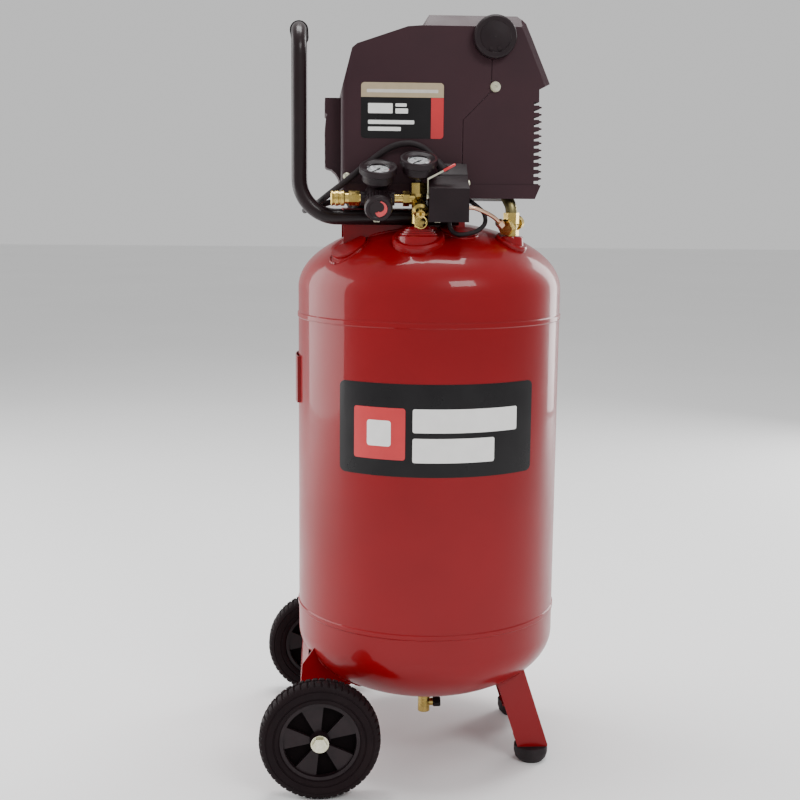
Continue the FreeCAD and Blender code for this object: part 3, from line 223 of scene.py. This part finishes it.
LOOKS = make_looks()
SLOTS = {part["node"]: part["material_slot"] for part in frame["record"]["subparts"]}
for node, obj in frame["nodes"].items():
    obj.data.materials.clear()
    obj.data.materials.append(LOOKS[SLOTS[node]])


def new_piece(name, bm, body, look, smooth=30):
    """Finish a bmesh as a piece that rides on a body and takes its finish from a slot."""
    mesh = bpy.data.meshes.new(name)
    bmesh.ops.recalc_face_normals(bm, faces=bm.faces)
    bm.to_mesh(mesh)
    bm.free()
    obj = bpy.data.objects.new(name, mesh)
    bpy.context.scene.collection.objects.link(obj)
    mesh.materials.append(LOOKS[look])
    mesh.shade_smooth()
    mesh.set_sharp_from_angle(angle=math.radians(smooth))
    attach(obj, body)
    return obj


def cord_curve(name, points, diameter, look):
    """A round cord on one smooth line with the given control points."""
    curve = bpy.data.curves.new(name, "CURVE")
    curve.dimensions = "3D"
    curve.bevel_depth = diameter / 2
    curve.bevel_resolution = 6
    curve.resolution_u = 12
    curve.use_fill_caps = True
    spline = curve.splines.new("NURBS")
    spline.points.add(len(points) - 1)
    for point, at in zip(spline.points, points):
        point.co = (*at, 1)
    spline.order_u = 3
    spline.use_endpoint_u = True
    obj = bpy.data.objects.new(name, curve)
    bpy.context.scene.collection.objects.link(obj)
    curve.materials.append(LOOKS[look])
    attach(obj, ROOT)
    return obj


# ---- surfaces that carry prints --------------------------------------------------------------------
def on_tank(angle, z, out):
    """A point out from the tank label's face; the angle is in degrees from the front."""
    a, r = math.radians(angle), TANK_R + LABEL_T + out
    return mm(r * math.sin(a), -r * math.cos(a), z)


def on_plane(origin, across, up, out_axis):
    """A flat face: returns a surface that takes (u, v, out) in millimetres."""
    origin, across, up, out_axis = (Vector(v) for v in (origin, across, up, out_axis))

    def surface(u, v, out):
        return mm(*(origin + across * u + up * v + out_axis * out))
    return surface


PRINT_OUT = 0.12             # how far a print stands proud of its surface
PRINT_IN = 0.2               # how far it reaches below it


def add_sheet(bm, grid, surface, out, into):
    """A thin closed sheet: grid[i][j] holds (u, v), mapped to both of its faces."""
    n, m = len(grid), len(grid[0])
    top = [[bm.verts.new(surface(u, v, out)) for u, v in row] for row in grid]
    low = [[bm.verts.new(surface(u, v, -into)) for u, v in row] for row in grid]
    for i in range(n - 1):
        k = i + 1
        for j in range(m - 1):
            bm.faces.new((top[i][j], top[k][j], top[k][j + 1], top[i][j + 1]))
            bm.faces.new((low[i][j], low[i][j + 1], low[k][j + 1], low[k][j]))
        bm.faces.new((top[i][0], low[i][0], low[k][0], top[k][0]))
        bm.faces.new((top[i][-1], top[k][-1], low[k][-1], low[i][-1]))
    for i in (0, n - 1):
        for j in range(m - 1):
            bm.faces.new((top[i][j], top[i][j + 1], low[i][j + 1], low[i][j]))


def print_patch(name, grid, surface, body, look, out=PRINT_OUT, into=PRINT_IN):
    bm = bmesh.new()
    add_sheet(bm, grid, surface, out, into)
    new_piece(name, bm, body, look)


def rounded(u0, u1, v0, v1, radius, u_scale=1.0, count=24):
    """Columns of a rounded rectangle; radius is in v's unit, u_scale is u units for each v unit."""
    corner = radius * u_scale
    arc = 6
    steps = [corner * (1 - math.cos(math.pi / 2 * k / arc)) for k in range(arc + 1)]
    middle = [corner + (u1 - u0 - 2 * corner) * k / count for k in range(1, count)]
    columns = steps + middle + [u1 - u0 - x for x in reversed(steps)]
    rows = []
    for x in columns:
        edge = min(x, u1 - u0 - x)
        cut = 0.0
        if edge < corner:
            cut = radius - math.sqrt(max(0.0, radius ** 2 - (radius - edge / u_scale) ** 2))
        cut = min(cut, radius * 0.999)
        rows.append([(u0 + x, v0 + cut), (u0 + x, v1 - cut)])
    return rows


def arc_grid(inner, outer, start, sweep, steps):
    """An arc of a ring; inner and outer are radii, or functions of the share along the arc."""
    rows = []
    for k in range(steps + 1):
        share = k / steps
        a = math.radians(start + sweep * share)
        low = inner(share) if callable(inner) else inner
        high = outer(share) if callable(outer) else outer
        rows.append([(r * math.cos(a), r * math.sin(a)) for r in (low, high)])
    return rows


TANK_DEG = math.degrees(1 / (TANK_R + LABEL_T))      # degrees round the tank for each millimetre


# Angles from the front in degrees, heights, corner radius, columns, look, height of the print.
TANK_PRINTS = {
    "label_square": ((-36.3, -13.8), (495, 569.5), 4, 24, "print_red", PRINT_OUT),
    "label_block": ((-30.2, -19.8), (514, 551), 4, 24, "print_white", 0.22),
    "label_bar_high": ((-10.8, 34.7), (535, 569), 3, 40, "print_white", PRINT_OUT),
    "label_bar_low": ((-10.8, 23.6), (492, 527), 3, 40, "print_white", PRINT_OUT),
}


def tank_label_print():
    """Plain blocks on the tank's label."""
    for name, (angles, heights, corner, columns, look, out) in TANK_PRINTS.items():
        outline = rounded(*angles, *heights, corner, TANK_DEG, columns)
        print_patch(name, outline, on_tank, ROOT, look, out=out)


COVER_LABEL_Y = -100.6       # the face of the pump cover's label
COVER_CORNER = 5.0
BAND_BOTTOM = 1003.5
STRIPE_LEFT = -9.0
STRIPE_TOP = 1003.2
COVER_BARS = [(-99, -64, 981, 995), (-60, -42, 981, 988), (-60, -44, 990.5, 995), (-99, -33, 966, 971.5),
              (-99, -52, 956.5, 962)]


def cover_label_print():
    """A plain band, a stripe and bars on the pump cover's label."""
    face = on_plane((0, COVER_LABEL_Y, 0), (1, 0, 0), (0, 0, 1), (0, -1, 0))
    band = rounded(-109, 9, 984, 1024, COVER_CORNER)
    band = [[(u, max(v, BAND_BOTTOM)) for u, v in row] for row in band]
    print_patch("cover_band", band, face, ROOT, "print_tan")
    stripe = rounded(-57, 9, 946, 1003, COVER_CORNER)
    stripe = [row for row in stripe if row[0][0] > STRIPE_LEFT - 3]
    stripe = [[(max(u, STRIPE_LEFT), low), (max(u, STRIPE_LEFT), STRIPE_TOP)] for (u, low), _ in stripe]
    print_patch("cover_stripe", stripe, face, ROOT, "print_red")
    for k, (u0, u1, v0, v1) in enumerate(COVER_BARS):
        print_patch("cover_bar_%d" % (k + 1), rounded(u0, u1, v0, v1, 1.2), face, ROOT, "print_white")
    print_patch("cover_line", rounded(-101, 1, 1010, 1014.5, 1.0), face, ROOT, "print_silver", out=0.2)


# ---- dials ----------------------------------------------------------------------------------------
DIAL_R = 16.3
DIAL_DEPTH = 6.2             # from a gauge's front edge down to its dial
SWEEP_START = 225.0
SWEEP = -270.0
RED_SHARE = 0.2              # the part of the sweep that is red
TICKS_PER_NUMBER = 5
TICK_EDGE = DIAL_R - 1.2
NUMBER_R = 9.9
NUMBER_SIZE = 3.4
NUMBER_T = 0.08
DIAL_NUMBERS = (0, 40, 80, 120, 160, 200)
DIAL_UP = Vector((0, math.cos(math.radians(24)), math.sin(math.radians(24))))


def dial_ticks(name, face, steps):
    bm = bmesh.new()
    for k in range(steps + 1):
        a = math.radians(SWEEP_START + SWEEP * k / steps)
        major = k % TICKS_PER_NUMBER == 0
        half = 0.32 if major else 0.16
        low = DIAL_R - (3.6 if major else 2.4)
        along, side = Vector((math.cos(a), math.sin(a))), Vector((-math.sin(a), math.cos(a)))
        corners = [along * low - side * half, along * TICK_EDGE - side * half,
                   along * TICK_EDGE + side * half, along * low + side * half]
        top = [bm.verts.new(face(c.x, c.y, 0.12)) for c in corners]
        base = [bm.verts.new(face(c.x, c.y, -0.1)) for c in corners]
        bm.faces.new(top)
        bm.faces.new(base[::-1])
        for i in range(4):
            bm.faces.new((top[i], base[i], base[(i + 1) % 4], top[(i + 1) % 4]))
    new_piece(name + "_ticks", bm, ROOT, "needle_black")


def number_mesh(number):
    """The mesh of one number, lying flat at the origin."""
    curve = bpy.data.curves.new("number", "FONT")
    curve.body = str(number)
    curve.size = NUMBER_SIZE * MM
    curve.align_x = "CENTER"
    curve.align_y = "CENTER"
    curve.extrude = NUMBER_T * MM
    obj = bpy.data.objects.new("number", curve)
    bpy.context.scene.collection.objects.link(obj)
    bpy.context.view_layer.update()
    mesh = bpy.data.meshes.new_from_object(obj.evaluated_get(bpy.context.evaluated_depsgraph_get()))
    bpy.data.objects.remove(obj)
    return mesh


def dial_print(name, centre):
    """Ticks, numbers and a red end zone on a gauge's dial."""
    face = on_plane(Vector(centre) - GAUGE_AXIS * DIAL_DEPTH, (1, 0, 0), DIAL_UP, GAUGE_AXIS)
    last = len(DIAL_NUMBERS) - 1
    dial_ticks(name, face, last * TICKS_PER_NUMBER)
    red = arc_grid(DIAL_R - 1.0, DIAL_R - 0.2, SWEEP_START + SWEEP * 0.8, SWEEP * RED_SHARE, 20)
    print_patch(name + "_zone", red, face, ROOT, "print_red", out=0.1, into=0.1)
    turn = Matrix((Vector((1, 0, 0)), DIAL_UP, GAUGE_AXIS)).transposed().to_4x4()
    for k, number in enumerate(DIAL_NUMBERS):
        a = math.radians(SWEEP_START + SWEEP * k / last)
        mesh = number_mesh(number)
        at = face(NUMBER_R * math.cos(a), NUMBER_R * math.sin(a), 0.05)
        mesh.transform(Matrix.Translation(at) @ turn)
        piece = bpy.data.objects.new("%s_number_%d" % (name, k + 1), mesh)
        bpy.context.scene.collection.objects.link(piece)
        mesh.materials.clear()
        mesh.materials.append(LOOKS["needle_black"])
        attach(piece, ROOT)


KNOB_FACE = 37               # the knob's face, out from REG_AT
HEAD_FROM = 0.78             # where the arrow's head starts, as a share of its length


def knob_print():
    """A curved arrow on the regulator knob's face."""
    up = Vector((0, REG_AXIS.z, -REG_AXIS.y))
    face = on_plane(Vector(REG_AT) + REG_AXIS * KNOB_FACE, (1, 0, 0), up, REG_AXIS)

    def head(share):
        return (share - HEAD_FROM) / (1 - HEAD_FROM)

    def outer(share):
        return 12.2 if share < HEAD_FROM else 12.8 - 5.4 * head(share)

    def inner(share):
        return 10.6 - 5.6 * min(1.0, share / 0.7) if share < HEAD_FROM else 3.0 + 4.0 * head(share)

    arrow = arc_grid(inner, outer, 78, -205, 60)
    print_patch("knob_arrow", arrow, face, "regulator_knob", "print_red", out=0.15)


# ---- turned pieces --------------------------------------------------------------------------------
def join_rings(bm, rings):
    """Faces between neighbouring rings of vertices, and one over each end."""
    sides = len(rings[0])
    for a, b in zip(rings, rings[1:]):
        for k in range(sides):
            bm.faces.new((a[k], a[(k + 1) % sides], b[(k + 1) % sides], b[k]))
    bm.faces.new(rings[0])
    bm.faces.new(rings[-1][::-1])


def revolve(bm, profile, origin, axis, steps, shift=None):
    """Turn a closed profile of (radius, height); shift(i, j) changes the radius at a step."""
    axis = Vector(axis).normalized()
    side = axis.orthogonal().normalized()
    other = axis.cross(side)
    rings = []
    for i in range(steps):
        a = 2 * math.pi * i / steps
        way = side * math.cos(a) + other * math.sin(a)
        ring = []
        for j, (r, h) in enumerate(profile):
            r = r + (shift(i, j) if shift else 0.0)
            ring.append(bm.verts.new(mm(*(Vector(origin) + axis * h + way * r))))
        rings.append(ring)
    count = len(profile)
    for i in range(steps):
        a, b = rings[i], rings[(i + 1) % steps]
        for j in range(count):
            k = (j + 1) % count
            bm.faces.new((a[j], b[j], b[k], a[k]))


WHEEL_AT = (-168, 207, 88)
WHEELS = (("front", -1), ("rear", 1))
TREAD_STEPS = 432
TREAD_PITCH = 8
TREAD_GROOVE = (0, 1)        # the steps of each pitch that are cut
TREAD_DEPTH = 2.2
TREAD_ROOT_R = 83.5
SIDEWALL = [(58.0, 14.0), (59.5, 16.6), (63.0, 18.2), (65.0, 18.4), (65.8, 17.4), (67.0, 17.4), (67.8, 18.6),
            (72.0, 19.0), (76.5, 18.8), (77.2, 17.9), (78.2, 17.9), (79.0, 18.5), (81.6, 17.6), (84.6, 15.9)]
CROWN = [(86.6, 13.4), (87.6, 10.6), (88.0, 8.0), (88.0, 2.0), (86.4, 1.6)]


def tyres():
    """Tyres with ribbed sidewalls and a block tread, its two halves half a pitch apart."""
    profile = SIDEWALL + CROWN
    full = profile + [(r, -h) for r, h in reversed(profile)]
    first = len(SIDEWALL)
    tread = range(first - 1, len(full) - first + 1)

    def shift(i, j):
        radius, height = full[j]
        if j not in tread:
            return 0.0
        phase = (i + (TREAD_PITCH // 2 if height < 0 else 0)) % TREAD_PITCH
        depth = TREAD_DEPTH if phase in TREAD_GROOVE else 0.0
        return -min(depth, max(0.0, radius - TREAD_ROOT_R))

    for name, side in WHEELS:
        bm = bmesh.new()
        revolve(bm, full, (WHEEL_AT[0], side * WHEEL_AT[1], WHEEL_AT[2]), (0, 1, 0), TREAD_STEPS, shift)
        piece = new_piece("tread_" + name, bm, "wheel_" + name, "tyre_rubber", smooth=28)
        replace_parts(piece, "tyre_" + name)


WEB_HALF = 4.0               # half the thickness of the hub's web
BLADES = 5
POCKET_R = (15.5, 52.6)
POCKET_START = 120.4
POCKET_SWEEP = 35.2


def hub_pockets():
    """Painted shade: near-black sheets on the recess floors between the raised blades on both faces of each
    hub, standing in for the shadow in the recesses.
    """
    for name, side in WHEELS:
        bm = bmesh.new()
        for face in (-1, 1):
            middle = (WHEEL_AT[0], side * WHEEL_AT[1] + face * WEB_HALF, WHEEL_AT[2])
            floor = on_plane(middle, (1, 0, 0), (0, 0, 1), (0, face, 0))
            for k in range(BLADES):
                start = POCKET_START + 360 / BLADES * k
                # painted shade sheets lie just above each recess floor
                add_sheet(bm, arc_grid(*POCKET_R, start, POCKET_SWEEP, 8), floor, 0.3, PRINT_IN)
        new_piece("hub_pockets_" + name, bm, "wheel_" + name, "painted_shade_black")


GRIP_AT = (-197.5, 0, 1101)
GRIP_R = 13.5
GROOVE_R = 12.7
GRIP_BORE = 10.8
GRIP_RIBS = 17
RIB_PITCH = 5


def grip():
    """Ribbed sleeve on the handle's crossbar."""
    outline = [(GRIP_BORE, -46), (13.4, -46), (GRIP_R, -43)]
    for k in range(GRIP_RIBS):
        y = RIB_PITCH * (k - GRIP_RIBS // 2)
        outline += [(GRIP_R, y - 1.5), (GROOVE_R, y - 1.0), (GROOVE_R, y + 1.0), (GRIP_R, y + 1.5)]
    outline += [(GRIP_R, 43), (13.4, 46), (GRIP_BORE, 46)]
    bm = bmesh.new()
    revolve(bm, outline, GRIP_AT, (0, 1, 0), 48)
    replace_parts(new_piece("grip_sleeve", bm, ROOT, "black_rubber"), "handle_grip")


# ---- welds ----------------------------------------------------------------------------------------
BEAD_SIDES = 8


def bead(name, points, radius):
    """A rippled weld bead along a path, thinner towards its ends and closed at both."""
    bm = bmesh.new()
    rings = []
    for i, point in enumerate(points):
        here = Vector(point)
        way = (Vector(points[min(i + 1, len(points) - 1)]) - Vector(points[max(i - 1, 0)])).normalized()
        side = way.orthogonal().normalized()
        other = way.cross(side)
        ease = min(1.0, 0.35 + min(i, len(points) - 1 - i) * 0.3)
        r = radius * ease * (1 + 0.16 * math.sin(i * 1.9))
        rings.append([bm.verts.new(mm(*(here + side * r * math.cos(a) + other * r * math.sin(a))))
                      for a in (2 * math.pi * k / BEAD_SIDES for k in range(BEAD_SIDES))])
    join_rings(bm, rings)
    new_piece(name, bm, ROOT, "red_paint", smooth=60)


HEAD_RISE = 100              # each head is a flat ellipsoid of this height
TOP_SEAM_Z = 727
LOW_SEAM_Z = 194


def head_z(x, y, up):
    """Height of the upper or lower head's surface."""
    rise = HEAD_RISE * math.sqrt(max(0.0, 1 - (x * x + y * y) / TANK_R ** 2))
    return TOP_SEAM_Z + rise if up else LOW_SEAM_Z - rise


def run(a, b, count):
    return [a + (b - a) * k / (count - 1) for k in range(count)]


def edge_weld(name, side, y, x0, x1, count, radius, up):
    """A bead along a straight edge that meets a head at a distance y from the middle."""
    bead(name, [(x, side * y, head_z(x, y, up)) for x in run(x0, x1, count)], radius)


PAD_Y = 92                   # the saddle's round pads
PAD_X = (-125, 34)
PAD_R = 27.5


def welds():
    """Beads where the saddle, its pads, the leg and the wheel bracket meet the tank."""
    for side, word in ((-1, "front"), (1, "rear")):
        edge_weld("saddle_weld_" + word, side, 79, -96, 6, 48, 2.2, True)
        for k, x in enumerate(PAD_X):
            ring = [(x + PAD_R * math.cos(a), side * (PAD_Y + PAD_R * math.sin(a)))
                    for a in run(math.radians(-20), math.radians(200), 44)]
            bead("pad_weld_%s_%d" % (word, k + 1), [(u, v, head_z(u, v, True)) for u, v in ring], 1.8)
        edge_weld("leg_weld_" + word, side, 105, 104, 145, 26, 2.4, False)
        edge_weld("wheel_bracket_weld_" + word, side, 93, -169, -104, 36, 2.4, False)


# ---- switch lever ---------------------------------------------------------------------------------
LEVER_Y = -157
LEVER_BEND = (3.5, 900.7)    # where the coating starts, in X and Z
LEVER_END = (20.9, 910.1)
LEVER_HALF_T = 1.15
COAT_HALF = (2.75, 1.9)      # half the coating's width and thickness
COAT_STATIONS = ((0.0, 0.55), (0.04, 0.85), (0.1, 1.0), (0.9, 1.0), (0.97, 0.85), (1.0, 0.55))
COAT_SIDES = 16


def lever_tip():
    """Red dip coating on the end of the switch's lever."""
    start, end = Vector(LEVER_BEND), Vector(LEVER_END)
    way = (end - start).normalized()
    out = Vector((-way.y, way.x))
    length = (end - start).length
    bm = bmesh.new()
    rings = []
    for share, grow in COAT_STATIONS:
        middle = start + way * length * share - out * LEVER_HALF_T
        ring = []
        for k in range(COAT_SIDES):
            a = 2 * math.pi * k / COAT_SIDES
            u, v = math.cos(a), math.sin(a)
            flat = (abs(u) ** 4 + abs(v) ** 4) ** 0.25
            across, deep = (half * grow * w / flat for half, w in zip(COAT_HALF, (u, v)))
            spot = middle + out * deep
            ring.append(bm.verts.new(mm(spot.x, LEVER_Y + across, spot.y)))
        rings.append(ring)
    join_rings(bm, rings)
    new_piece("lever_tip", bm, "switch_lever", "print_red", smooth=50)


welds()
lever_tip()
tank_label_print()
cover_label_print()
dial_print("tank_dial", TANK_GAUGE)
dial_print("outlet_dial", OUTLET_GAUGE)
knob_print()
tyres()
hub_pockets()
grip()


# ---- cords ----------------------------------------------------------------------------------------
GLAND_AT = Vector((10, -126, 899))
GLAND_AXIS = Vector((-0.58, 0.30, 0.757)).normalized()
GLAND_LENGTH = 20
CORD_D = 9.0
COIL_AT = (30, 330)
COIL_R = 50
COIL_TURNS = 2.5
TURN_POINTS = 16
COIL_TOP = 27.5
COIL_DROP = 23.0


def power_cord():
    """The lead, from the gland round behind the tank to a coil on the floor and its plug."""
    start = GLAND_AT + GLAND_AXIS * GLAND_LENGTH
    route = [tuple(start), tuple(start + GLAND_AXIS * 16), (-25, -113, 936), (-44, -112.5, 940),
             (-69, -112.5, 933.5), (-97, -112.5, 913), (-131, -114, 884), (-155, -96, 866), (-173, -69, 851),
             (-188, -39, 843), (-191, -8, 841), (-178, 22, 846), (-152, 48, 854), (-128, 78, 859),
             (-118, 112, 850), (-112, 148, 820), (-104, 182, 770), (-94, 210, 700), (-82, 222, 600),
             (-66, 226, 490), (-52, 232, 380), (-42, 236, 270), (-38, 240, 165), (-33, 247, 95),
             (-26, 262, 50), (-21, 286, 30), (-20, 312, COIL_TOP), (-20, 332, COIL_TOP)]
    count = int(COIL_TURNS * TURN_POINTS)
    for k in range(1, count + 1):
        turn = k / count
        angle = math.pi - 2 * math.pi * COIL_TURNS * turn
        radius = COIL_R + 1.5 * math.sin(9 * turn)
        height = COIL_TOP - COIL_DROP * min(1.0, turn * 1.08)
        route.append((COIL_AT[0] + radius * math.cos(angle), COIL_AT[1] + 2 + radius * math.sin(angle), height))
    route.append((COIL_AT[0] + COIL_R, COIL_AT[1] - 16, 6.0))
    cord = cord_curve("power_lead", [mm(*p) for p in route], CORD_D * MM, "black_rubber")
    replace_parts(cord, "power_cord", "cord_coil")


power_cord()


# ---- floor, light and camera ----------------------------------------------------------------------
def stage():
    """A pale floor and an even white surround."""
    bpy.ops.mesh.primitive_plane_add(size=40, location=(0, 0, 0))
    floor = bpy.context.object
    floor.name = "floor"
    look = Look("floor", (0.86, 0.86, 0.86), 0.7)
    look.vary(0.7, (0.84, 0.84, 0.84))
    floor.data.materials.append(look.mat)
    world = bpy.data.worlds.new("studio")
    bpy.context.scene.world = world
    world.use_nodes = True
    world.node_tree.nodes["Background"].inputs["Color"].default_value = (1.0, 1.0, 1.0, 1)
    world.node_tree.nodes["Background"].inputs["Strength"].default_value = 0.72


def area_light(name, at, size, size_y, power, toward=(0, 0, 0.6)):
    """A soft box aimed at the tank's middle."""
    light = bpy.data.lights.new(name, "AREA")
    light.shape = "RECTANGLE"
    light.size = size
    light.size_y = size_y
    light.energy = power
    obj = bpy.data.objects.new(name, light)
    bpy.context.scene.collection.objects.link(obj)
    obj.location = at
    obj.rotation_euler = (Vector(toward) - Vector(at)).to_track_quat("-Z", "Y").to_euler()


CAMERA_AT = (-171.7, -1996, 866)
CAMERA_TURN = (3.688, 8.945, 0.543)      # degrees: to the right, down, and leaning
SENSOR = 36
LENS = 58.6


def camera():
    yaw, pitch, roll = (math.radians(a) for a in CAMERA_TURN)
    forward = Vector((math.sin(yaw) * math.cos(pitch), math.cos(yaw) * math.cos(pitch), -math.sin(pitch)))
    level = Vector((math.cos(yaw), -math.sin(yaw), 0))
    up = level.cross(forward)
    right = math.cos(roll) * level + math.sin(roll) * up
    top = -math.sin(roll) * level + math.cos(roll) * up
    data = bpy.data.cameras.new("camera")
    data.sensor_width = SENSOR
    data.lens = LENS
    obj = bpy.data.objects.new("camera", data)
    bpy.context.scene.collection.objects.link(obj)
    turn = Matrix((right, top, -forward)).transposed()
    obj.matrix_world = Matrix.Translation(mm(*CAMERA_AT)) @ turn.to_4x4()
    bpy.context.scene.camera = obj


stage()
area_light("left_box", (-2.9, 0.8, 1.2), 3.0, 2.6, 120)
area_light("right_box", (2.3, 2.0, 1.2), 1.0, 2.4, 60)
area_light("front_box", (1.5, -2.9, 2.9), 1.4, 1.0, 60)
area_light("top_box", (0.0, 0.25, 3.1), 1.6, 1.0, 75, toward=(0, 0, 0.7))
camera()
